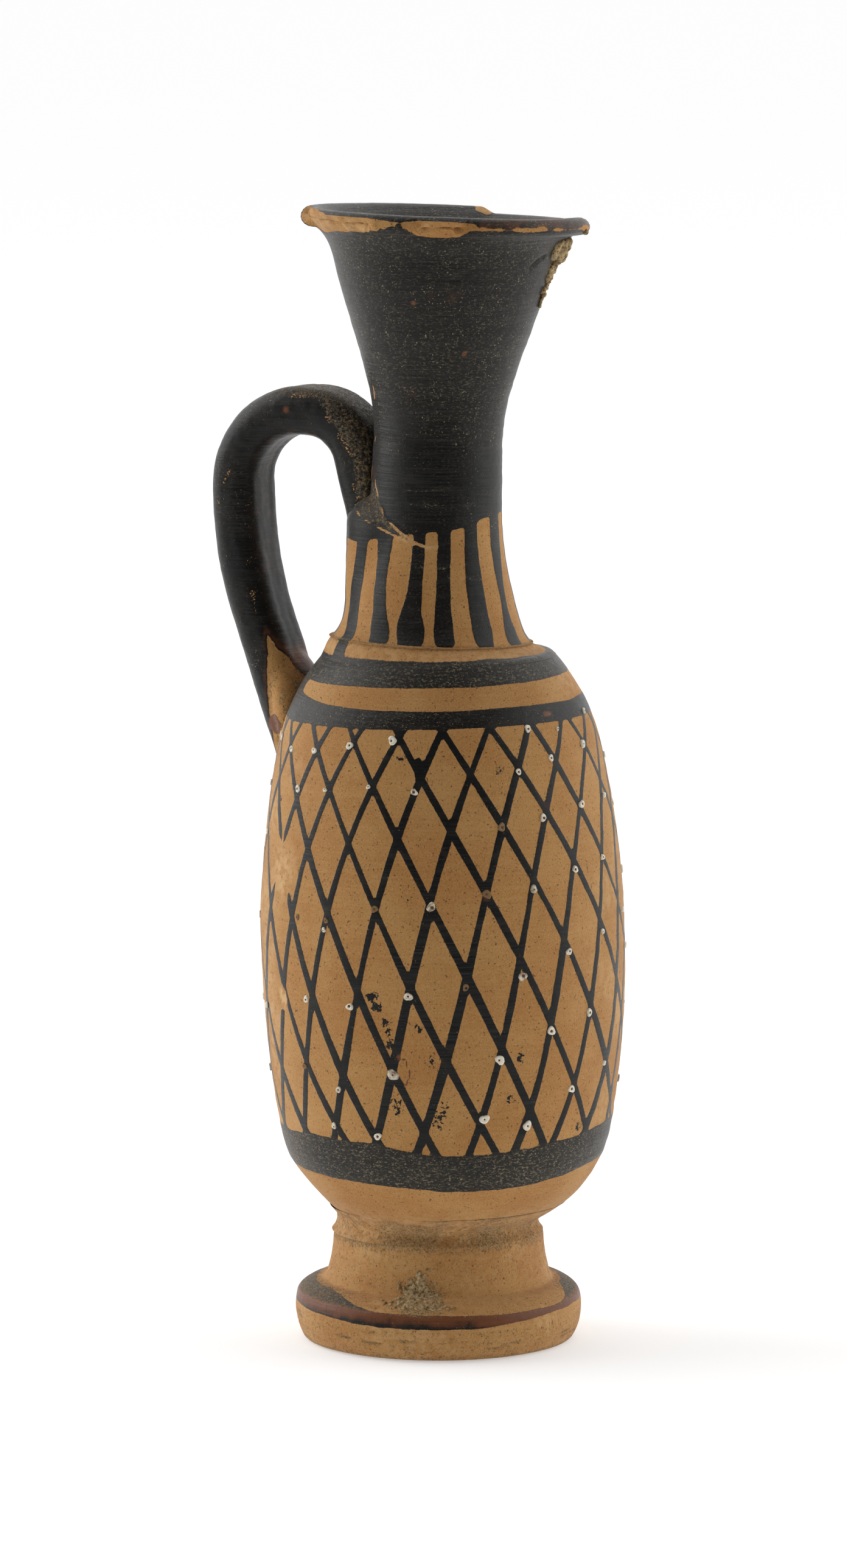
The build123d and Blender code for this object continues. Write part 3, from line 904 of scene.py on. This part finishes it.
def make_neck(material):
    neck = Turned("neck", NECK_LEAN, columns=300, shown_step=0.26, hidden_step=1.5, crisp=(0.0, NECK_HEIGHT))
    a, h, p = neck.a, neck.h, neck.points
    brush = 0.09 * noise(p, 3.0, 61) + 0.05 * noise(p, 0.9, 62)
    tongues = np.full(neck.shape, -20.0)
    foot = FIRST_TONGUE_FOOT
    for edges in [*TONGUES, *over_the_back(TONGUES, TONGUES_AT_BACK)]:
        left, right = (curve(h, TONGUE_HEIGHTS[::-1], side[::-1]) for side in np.transpose(edges))
        sides = np.minimum(neck.across(left), -neck.across(right))
        tongues = np.maximum(tongues, -smooth_max(-sides, foot - h, 0.9))
        foot = TONGUE_FOOT
    gloss = smooth_max(tongues, h - around(a, SLOT_TOPS), 0.6) + brush
    ridges = np.maximum(neck.line(CREASE_LINE, 0.26), neck.line(SMEAR_LINE, 0.22))
    gloss = np.minimum(gloss, 0.5 - (0.75 + 0.4 * noise(p, 0.9, 63)) * ridges)
    gloss = np.where(neck.outside, gloss, BARE)
    crease, smear = (np.interp(a, *np.transpose(route)) for route in (CREASE_LINE, SMEAR_LINE))
    wedge = ramp(-0.2, 0.6, np.minimum(crease - h, h - smear)) * ramp(-140, -110, a)
    # Darker at the neck's very base, in the crease above the fillet: painted shade; the wedge and the ridges
    # carry soil
    soil = 0.45 * wedge + 0.35 * ridges + 0.4 * ramp(0.7, 0.1, h)
    scratches = np.maximum.reduce([neck.line(route, 0.16) for route in NECK_SCRATCHES])
    dust = 0.1 + 0.1 * noise(p, 4.0, 64) + 0.3 * wedge + 0.8 * scratches * ramp(-0.4, 0.2, noise(p, 0.8, 67))
    thin = 0.3 * ramp(0.2, 0.7, noise(p, 5.0, 65))
    relief = 0.8 * hand_marks(p, 66) + 0.16 * ridges + coat(gloss)
    relief = relief * ramp(0.0, 0.8, h) * ramp(NECK_HEIGHT, NECK_HEIGHT - 0.8, h) + handle_swell(neck)
    relief = relief - NECK_TUCK * ramp(FILLET_HIGH, 0.1, h) * neck.outside
    neck.dress(
        "painted_neck", ["neck", "handle_top_joint_slip"], "clay", material, neck.own(relief),
        gloss=gloss, wear=0.12, thin=thin, dust=dust, soil=soil, pale=0.9 * ridges,
    )
    return neck


def make_neck_fillet(body, neck, material):
    """The slip round the neck's base, wiped onto the shoulder under the band's edge and a tongue's foot."""
    low, _, low_up, low_out = body.surface(neck.a[0], FILLET_LOW)
    high, _, high_up, high_out = neck.surface(neck.a[0], FILLET_HIGH)
    start, end = low + FILLET_PROUD * low_out, high - FILLET_PROUD * high_out
    t = np.linspace(0, 1, FILLET_ROWS)[:, None, None]
    skin = bend(t, start, start + FILLET_PULL * low_up, end - FILLET_NECK_PULL * high_up, end)
    uneven = 0.08 * noise(skin, (6.0, 6.0, 0.8), 131) * np.sin(math.pi * t[..., 0])
    skin = skin + uneven[..., None] * low_out
    grid = np.concatenate([skin, [high - FILLET_DEPTH * high_out], [low - FILLET_DEPTH * low_out]])
    share = np.append(t, [1, 0])[:, None]
    left, right = TONGUES[0][-1]
    tongue = np.minimum(wrapped(neck.a - left), -wrapped(neck.a - right)) * RAD
    tongue = tongue * body.at_height(FILLET_LOW, body.r)
    gloss = np.maximum(1.5 * (FILLET_BAND - share), tongue) + 0.12 * noise(grid, 3.0, 132)
    # Darker towards the fillet's top, in the crease at the neck: painted shade, over an even stain of soil
    soil = 0.5 * ramp(0.75, 1.0, share) + 0.2
    fields = {"gloss": gloss, "wear": 0.3, "dust": 0.35, "soil": soil, "pale": 0.4}
    put_on(woven("neck_fillet", grid, True, fields), ["neck_joint_slip"], material)


def lip_break(mouth, ragged):
    """How deep the break cuts into each point of the lip, and where the lip is that it cuts."""
    low = around(mouth.a, BREAK_LOW) + ragged
    edge = BREAK_TOP[0] - BREAK_DEEPER * ramp(-56, -72, mouth.a) * ramp(-115, -100, mouth.a)
    along_r = edge - mouth.at_height(low, mouth.r)
    along_h = BREAK_TOP[1] - low
    from_r, from_h = edge - mouth.r, BREAK_TOP[1] - mouth.h
    beyond = (from_h * along_r - from_r * along_h) / np.hypot(along_r, along_h)
    lip = ramp(16.8, 17.4, mouth.r) * ramp(-0.5, 0.0, mouth.out) * ramp(36.2, 35.6, low)
    return np.clip(beyond, 0, 2) * lip, lip


def make_mouth(material):
    mouth = Turned("mouth", NECK_LEAN, columns=348, shown_step=0.36, hidden_step=0.55, crisp=(0.0,))
    a, h, p = mouth.a, mouth.h, mouth.points
    top = float(mouth.h.max())
    ragged = 0.3 * noise(p, 1.9, 71) + 0.2 * noise(p, 0.75, 72)
    cut, lip = lip_break(mouth, ragged)
    broken = ramp(0.1, 0.4, cut)
    rubbed = RUB_HALF - np.abs(h - RUB_HEIGHT) + 0.9 * ragged
    rubbed = np.minimum(rubbed, np.minimum(a - RUB_FROM, RUB_TO - a) / 3)
    chip_angle, chip_wide, chip_tall = BACK_CHIP
    chip = np.hypot(mouth.across(chip_angle) / chip_wide, (h - top) / chip_tall)
    chip = ramp(1.0, 0.5, chip + 0.3 * noise(p, 1.2, 70))
    crease = mouth.line(STRAP_CREASE, 0.3) * ramp(-0.25, 0.25, noise(p, (3.0, 3.0, 1.0), 68))
    gloss = np.where(lip > 0.02, 0.25 - 4.0 * cut, COVERED)
    rubbed_gloss = np.where(mouth.outside, -rubbed, COVERED)
    gloss = np.minimum.reduce([gloss, 0.4 - chip, rubbed_gloss, 0.5 - 0.8 * crease])

    cracks = mouth.line(LIP_CRACK, 0.25) + 0.25 * mouth.line(OLD_CRACK, 0.22)
    striae = 0.06 * noise(p, (16.0, 16.0, 0.75), 75) * mouth.outside * ramp(26, 16, h)
    rough = 0.5 * noise(p, 2.2, 73) + 0.3 * noise(p, 0.9, 74)
    relief = 0.9 * hand_marks(p, 76) + striae - cut + rough * broken - 0.35 * cracks
    relief = relief * ramp(0.0, 0.9, h)
    dip = 0.9 * ramp(75, 110, a) * ramp(165, 158, a) * ramp(33.0, top, h)
    skirt = 0.55 * ramp(0.7, 0.0, h) * mouth.outside

    near_rim = ramp(20.0, 34.0, h) * mouth.outside
    wear = 0.14 + 0.1 * near_rim + 0.12 * fractal(p, 6.0, 77)
    dust = (0.32 + 0.2 * near_rim + 0.2 * fractal(p, 7.0, 78)) * (0.25 + 0.75 * ramp(0.0, 10.0, h))
    soil = 0.7 * mouth.spot(*RIM_SOIL, soft=0.9) + 0.4 * cracks + 0.3 * crease
    soil = soil + 0.4 * broken * ramp(0.0, 0.5, noise(p, 1.3, 69))
    red_lip = ramp(34.7, 35.1, h) * ramp(8, 16, a) * ramp(110, 90, a) * mouth.outside
    thin = 0.35 * ramp(0.35, 0.8, noise(p, 6.5, 79)) + 0.45 * red_lip
    for place in RED_SPOTS:
        thin = thin + 0.9 * mouth.spot(*place, soft=0.9)
    pale = 0.7 * chip + 0.6 * broken * ramp(-0.1, 0.5, noise(p, 1.8, 80))
    mouth.dress(
        "trumpet_mouth", ["mouth"], "black_gloss", material, mouth.own(relief, -dip - skirt),
        gloss=gloss, wear=wear, thin=thin, dust=dust, soil=soil, pale=pale,
    )
    return mouth


def make_mouth_joint(material):
    """The ring of slip between neck and mouth, under the skin that was wiped over it."""
    crisp = (0.0, 0.5)
    ring = Turned("mouth_joint_slip", NECK_LEAN, columns=200, shown_step=0.1, hidden_step=0.5, crisp=crisp)
    shaped = ring.own(-0.3 * ring.outside)
    fields = {"gloss": COVERED, "wear": 0.2, "dust": 0.15}
    ring.dress("mouth_joint_ring", ["mouth_joint_slip"], "black_gloss", material, shaped, **fields)


def make_foot(material):
    foot = Turned("foot", UPRIGHT, columns=400, shown_step=0.3, hidden_step=2.0, crisp=(STEM_TOP,))
    a, h, p = foot.a, foot.h, foot.points
    ridge_lift = around(a, FOOT_RIDGE_LIFT) * ramp(1.0, 6.0, h) * ramp(9.5, 7.0, h) * foot.outside
    brush = 0.1 * noise(p, 3.0, 81) + 0.05 * noise(p, 0.8, 82)
    flanks = np.maximum(ramp(-25, -60, a), ramp(60, 80, a))
    band = np.minimum(h - around(a, FOOT_BAND_LOW), FOOT_RIDGE - h + 0.15 + 1.5 * flanks) + brush
    gloss = np.where(foot.outside, band, BARE)
    on_disc = ramp(15.6, 17.2, foot.r) * ramp(6.3, 6.9, h) * foot.outside
    crust = foot.spot(*CRUST_BED, soft=0.9)
    cracks = ramp(0.5, 0.7, noise(p, (5.0, 5.0, 0.35), 83)) * ramp(4.6, 3.6, h)
    relief = 0.8 * hand_marks(p, 84) - 0.2 * cracks * ramp(1.2, 2.0, h) + 0.2 * crust
    relief = relief * ramp(0.3, 1.6, h) * ramp(STEM_TOP, STEM_TOP - 1, h)
    lift = np.maximum(ridge_lift, -(h + relief * foot.up))

    near_ridge = np.exp(-(((h - FOOT_RIDGE) / 0.45) ** 2))
    thin = 0.66 - 0.3 * ramp(5.7, 5.0, h) - 0.4 * on_disc + (0.45 + 0.3 * ramp(20, 50, a)) * near_ridge
    thin = thin + 0.1 * noise(p, 3.0, 85)
    soil = on_disc * (0.25 + 0.3 * flanks) + 0.8 * crust + 0.25 * ramp(1.2, 0.2, h) + 0.4 * cracks
    # Darker over the foot's lower part, below its painted band: painted shade near the floor; the rest is
    # soil
    soil = soil + 0.3 * ramp(5.4, 4.4, h) + 0.26 * ramp(8.0, 10.0, h)
    soil = soil + 0.45 * ramp(13.8, 15.2, h) * (0.6 + 0.5 * noise(p, 4.0, 87))
    pale = 0.15 + 0.35 * ramp(0.0, 0.7, noise(p, 5.0, 86))
    foot.dress(
        "turned_foot", ["foot"], "clay", material, foot.own(relief, lift),
        gloss=gloss, wear=0.25, thin=thin, dust=0.9 * on_disc, soil=soil, pale=pale,
    )
    return foot


def make_collar(body, material):
    """The slip at the waist, worked up in a hollow curve onto the body's underside and stained by soil."""
    collar = Turned("foot_joint_slip", UPRIGHT, columns=360, shown_step=0.12, hidden_step=1.5)
    p, h = collar.points, collar.h
    grains = 0.09 * noise(p, 1.3, 92) + 0.06 * noise(p, 0.6, 94)
    relief = (0.4 * hand_marks(p, 91) + grains) * ramp(0.3, 1.2, h) * collar.outside
    shaped = collar.own(relief)
    top = int(np.argmax(h))
    waist = min((k for k in range(1, top) if h[k, 0] > 0.5), key=lambda k: collar.r[k, 0])
    place, _, up, out = body.surface(collar.a[0], body.height_under(COLLAR_REACH))
    onto = place + COLLAR_PROUD * out - collar.origin
    start = shaped[waist].copy()
    lead = start + np.array([0, 0, COLLAR_LEAD])
    shares = np.linspace(0, 1, top - waist + 1)[:, None, None]
    shaped[waist:top + 1] = bend(shares, start, lead, onto - COLLAR_TAIL * up, onto)
    soil = (0.5 + 0.25 * noise(p, 4.0, 93)) * (1 - 0.35 * ramp(1.5, 3.0, h))
    fields = {"gloss": BARE, "soil": soil, "pale": 0.6}
    collar.dress("luting_collar", ["foot_joint_slip"], "clay", material, shaped, **fields)


def from_line(points, route):
    """The distance in the XZ plane of each point from a line through (X, Z) places."""
    x, _, z = points.T
    return np.minimum.reduce([
        from_segment(x - x0, z - z0, x1 - x0, z1 - z0) for (x0, z0), (x1, z1) in zip(route, route[1:])
    ])


def root_gloss(points):
    """How far a point lies outside the bare triangle at the handle's root."""
    x, z = points[:, 0], points[:, 2]
    outer = np.interp(z, *np.transpose(TRIANGLE_OUTER)) - x
    upper = (z - TRIANGLE_APEX[1] + TRIANGLE_SLOPE * (x - TRIANGLE_APEX[0])) / math.hypot(1, TRIANGLE_SLOPE)
    return np.maximum(outer, upper) + 0.15 * noise(points, 2.0, 101) + 0.1 * noise(points, 0.8, 102)


def handle_fields(points, normals):
    x, _, z = points.T
    inward = np.array([HANDLE_EYE[0], 0, HANDLE_EYE[1]]) - points * (1, 0, 1)
    faces_in = np.sum(inward * normals, axis=1) / np.linalg.norm(inward, axis=1)
    corners = ramp(0.3, 0.06, np.abs(np.abs(normals[:, 1]) - 0.72))
    chips = ramp(0.6, 0.2, from_line(points, CHIPPED_EDGE))
    for scratch in HANDLE_SCRATCHES:
        chips = np.maximum(chips, ramp(0.4, 0.15, from_line(points, scratch)))
    chips = chips * ramp(-0.1, -0.5, normals[:, 1]) * ramp(-0.2, 0.3, noise(points, 1.6, 111))
    root = root_gloss(points)
    bare = inside(-root)
    tip = 1.3 - np.linalg.norm(points[:, [0, 2]] - ROOT_TIP, axis=1) + 0.3 * noise(points, 1.0, 115)
    wear = 0.14 + 0.2 * corners * ramp(-0.2, 0.4, noise(points, 5.0, 112)) + 0.7 * chips
    edge_x, edge_z = np.transpose(CHIPPED_EDGE[::-1])
    crown = ramp(-0.2, 0.6, x - np.interp(z, edge_z, edge_x)) * ramp(108, 111, z)
    crown = np.maximum(crown, ramp(-0.3, -0.8, faces_in) * ramp(120, 127, z) * ramp(-29, -22, x))
    soil = 0.48 * crown + 0.45 * bare * ramp(-0.1, 0.5, noise(points, (0.7, 0.7, 6.0), 113))
    soil = soil + 0.35 * ramp(-22.5, -20.0, x) * ramp(96, 92, z)
    thin = 0.9 * np.exp(-((np.linalg.norm(points - RED_SPOT, axis=1) / 0.65) ** 2))
    thin = thin + 0.3 * ramp(0.3, 0.8, faces_in) + 1.2 * inside(tip)
    thin = thin + 0.5 * ramp(1.4, 0.2, np.abs(root)) * (1 - bare)
    dust = 0.08 + 0.3 * crown + 0.12 * fractal(points, 5.0, 114)
    gloss = np.maximum(root, tip)
    return {"gloss": gloss, "wear": wear, "thin": thin, "dust": dust, "soil": soil, "pale": 0.5 * chips}


def make_handle(material):
    """The pulled strap, in one skin with the clay worked round its root."""
    nodes = ["handle", "handle_root_joint_slip"]
    whole = bmesh.new()
    for node in nodes:
        whole.from_mesh(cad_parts[node].data)
    bmesh.ops.remove_doubles(whole, verts=whole.verts, dist=0.001 * MM)
    mesh = remeshed("strap_handle", whole, voxel=0.3, passes=10)
    points = mesh_points(mesh)
    normals = np.empty(points.size, np.float32)
    mesh.vertex_normals.foreach_get("vector", normals)
    normals = normals.reshape(-1, 3).astype(float)
    fields = handle_fields(points, normals)
    slow = 0.14 * fractal(points, 9.0, 121)
    pulled = 0.06 * noise(points, (9.0, 1.1, 9.0), 122)
    grain = 0.03 * noise(points, 0.8, 123)
    worn = -0.1 * inside(-fields["gloss"])
    shaped = points + normals * (slow + pulled + grain + worn + 0.05)[:, None]
    mesh.vertices.foreach_set("co", (shaped * MM).astype(np.float32).ravel())
    put_on(finished("strap_handle", mesh, fields), nodes, material)


def dab_places(crossings, chance):
    """Each white dab as angle, height, radius and fade: the seen ones, and the rest at the crossings."""
    places = list(DABS)
    for angle, height in crossings:
        if not DABS_FROM < wrapped(angle) < DABS_TO:
            shift, drop = chance.uniform(-0.5, 2.0), chance.uniform(0.0, 1.8)
            places.append((angle - shift, height - drop, chance.uniform(0.45, 0.7), chance.uniform(0.0, 0.5)))
    return places


def make_dots(body, crossings, material):
    """Dabs of chalky white on the net: uneven, mostly pitted, and worn down where they have faded."""
    rings = ((1.0, -0.6), (0.93, 0.5), (0.75, 1.0), (0.52, 1.0), (0.3, 1.0), (0.12, 1.0))
    sides = 18
    chance = np.random.default_rng(7)
    vertices, faces, fades, pits = [], [], [], []
    for angle, height, radius, fade in dab_places(crossings, chance):
        proud = chance.uniform(0.15, 0.22) * (1 - 0.7 * fade)
        swing = chance.uniform(0, 2 * math.pi, 2)
        pit_reach = chance.uniform(0.0, 0.3)
        pit_middle = pit_reach * np.array([math.cos(swing[0]), math.sin(swing[0])])
        pit_size = chance.uniform(0.3, 0.6)
        place, round_way, up_way, out = body.surface(angle, height)
        base = len(vertices)
        for (share, rise), k in itertools.product(rings, range(sides)):
            turn = 2 * math.pi * k / sides
            uneven = 1 + 0.13 * math.sin(2 * turn + swing[0]) + 0.09 * math.sin(3 * turn + swing[1])
            reach = share * (uneven + chance.uniform(-0.05, 0.05))
            spot = reach * np.array([math.cos(turn), math.sin(turn)])
            pit = 1 - ramp(0.5, 1.0, np.hypot(*(spot - pit_middle)) / pit_size)
            offset = DAB_SCALE * radius * (spot[0] * round_way + spot[1] * up_way)
            vertices.append(place + offset + out * (proud * rise * (1 - 0.6 * pit) + 0.08))
            pits.append(float(pit))
            fades.append(fade)
        for ring, k in itertools.product(range(len(rings) - 1), range(sides)):
            low, high = base + ring * sides, base + (ring + 1) * sides
            beside = (k + 1) % sides
            faces.append((low + k, low + beside, high + beside, high + k))
        faces.append(tuple(base + k for k in reversed(range(sides))))
        faces.append(tuple(base + (len(rings) - 1) * sides + k for k in range(sides)))
    mesh = bpy.data.meshes.new("white_dots")
    mesh.from_pydata((np.array(vertices) * MM).tolist(), [], faces)
    piece = finished("white_dots", mesh, {"fade": np.array(fades), "pit": np.array(pits)})
    put_on(piece, [], material)


def make_crust(name, carrier, spots, voxel, seed, material):
    """Grains of hard soil stuck on a turned piece. A spot is angle, height, their spreads, size and count."""
    chance = np.random.default_rng(seed)
    grains = bmesh.new()
    for angle, height, angle_spread, height_spread, size, count in spots:
        for _ in range(count):
            radius = size * chance.uniform(0.5, 1.0)
            place, _, _, out = carrier.surface(
                angle + angle_spread * chance.normal(), height + height_spread * chance.normal()
            )
            centre = place + out * radius * chance.uniform(-0.3, 0.8)
            stretch = Matrix.Diagonal((*chance.uniform(0.75, 1.25, 3), 1))
            where = Matrix.Translation(Vector(centre * MM)) @ stretch
            bmesh.ops.create_icosphere(grains, subdivisions=2, radius=radius * MM, matrix=where)
    put_on(finished(name, remeshed(name, grains, voxel, passes=1), {}), [], material)


def view_ways():
    """The directions to the right of the camera's view and along it, in plan."""
    right = Vector((math.cos(VIEW_SIDE * RAD), math.sin(VIEW_SIDE * RAD), 0))
    return right, Vector((-right.y, right.x, 0))


def front_share(g, place, rise, near, far):
    """A share that grows as a place goes from near to far, towards the studio's front and up by the rise."""
    towards = (Vector((0, 0, rise)) - view_ways()[1]).normalized()
    along = g.node("ShaderNodeVectorMath", {0: g.places[place], 1: towards}, operation="DOT_PRODUCT")
    return g.step(along.outputs["Value"], near, far)


def white_floor():
    """A wide white table top that glows a little, and less so at the front of the studio."""
    corners = [(x * FLOOR_HALF, y * FLOOR_HALF, 0) for x, y in ((-1, -1), (1, -1), (1, 1), (-1, 1))]
    mesh = bpy.data.meshes.new("studio_floor")
    mesh.from_pydata(corners, [], [(0, 1, 2, 3)])
    floor = placed("studio_floor", mesh)
    material = bpy.data.materials.new("studio_white")
    g = Graph(material)
    share = front_share(g, "Object", 0, FLOOR_BRIGHT_TO, FLOOR_DIM_FROM)
    inputs = {"Roughness": 1.0, "Specular IOR Level": 0.0, "Emission Strength": 1.0}
    for socket, bright, dim in (("Base Color", FLOOR_WHITE, FLOOR_GREY), ("Emission Color", FLOOR_GLOW, 0.0)):
        inputs[socket] = g.mix(share, (bright, bright, bright, 1), (dim, dim, dim, 1))
    g.close("Material", "BsdfPrincipled", inputs)
    mesh.materials.append(material)


def lamp(name, side, front, height, size, power):
    """A square soft light, placed to the side and in front of the camera's view and aimed at the vessel."""
    right, forward = view_ways()
    data = bpy.data.lights.new(name, "AREA")
    data.shape = "SQUARE"
    data.size = size
    data.energy = power
    light = placed(name, data)
    light.location = right * side - forward * front + Vector((0, 0, height))
    aim = Vector((0, 0, LIGHTS_AIM)) - light.location
    light.rotation_euler = aim.to_track_quat("-Z", "Y").to_euler()


def studio():
    """White surroundings behind and beside the vessel, dim ones at the front, and a light at each side."""
    scene = bpy.context.scene
    scene.view_settings.view_transform = "Standard"
    scene.world = bpy.data.worlds.new("studio")
    g = Graph(scene.world)
    share = front_share(g, "Generated", ROOM_DIM_RISE, ROOM_BRIGHT_TO, ROOM_DIM_FROM)
    glow = g.blend(share, ROOM_GLOW, ROOM_DIM_GLOW)
    g.close("World", "Background", {"Color": (1, 1, 1, 1), "Strength": glow})
    lamp("key_light", side=-1.0, front=-0.2, height=0.6, size=1.0, power=KEY_POWER)
    lamp("fill_light", side=1.1, front=0.05, height=0.5, size=1.0, power=FILL_POWER)


def photo_camera():
    right, forward = view_ways()
    data = bpy.data.cameras.new("photo_camera")
    data.sensor_width = SENSOR
    data.lens = SENSOR * FOCAL_PIXELS / PHOTO_HEIGHT_PIXELS
    data.clip_end = 50
    camera = placed("photo_camera", data)
    camera.location = (right * CAMERA_OFFSET - forward * CAMERA_DISTANCE + Vector((0, 0, CAMERA_HEIGHT))) * MM
    camera.rotation_euler = ((90 - CAMERA_PITCH) * RAD, 0, VIEW_SIDE * RAD)
    bpy.context.scene.camera = camera


painted = painted_clay()
chalk = chalk_white()
crust = burial_crust()

body, crossings = make_body(painted)
neck = make_neck(painted)
make_neck_fillet(body, neck, painted)
make_mouth_joint(painted)
mouth = make_mouth(painted)
foot = make_foot(painted)
make_collar(body, painted)
make_handle(painted)
make_dots(body, crossings, chalk)
make_crust("rim_crust", mouth, RIM_CRUST, voxel=0.14, seed=3, material=crust)
make_crust("foot_crust", foot, FOOT_CRUST, voxel=0.12, seed=4, material=crust)

white_floor()
studio()
photo_camera()
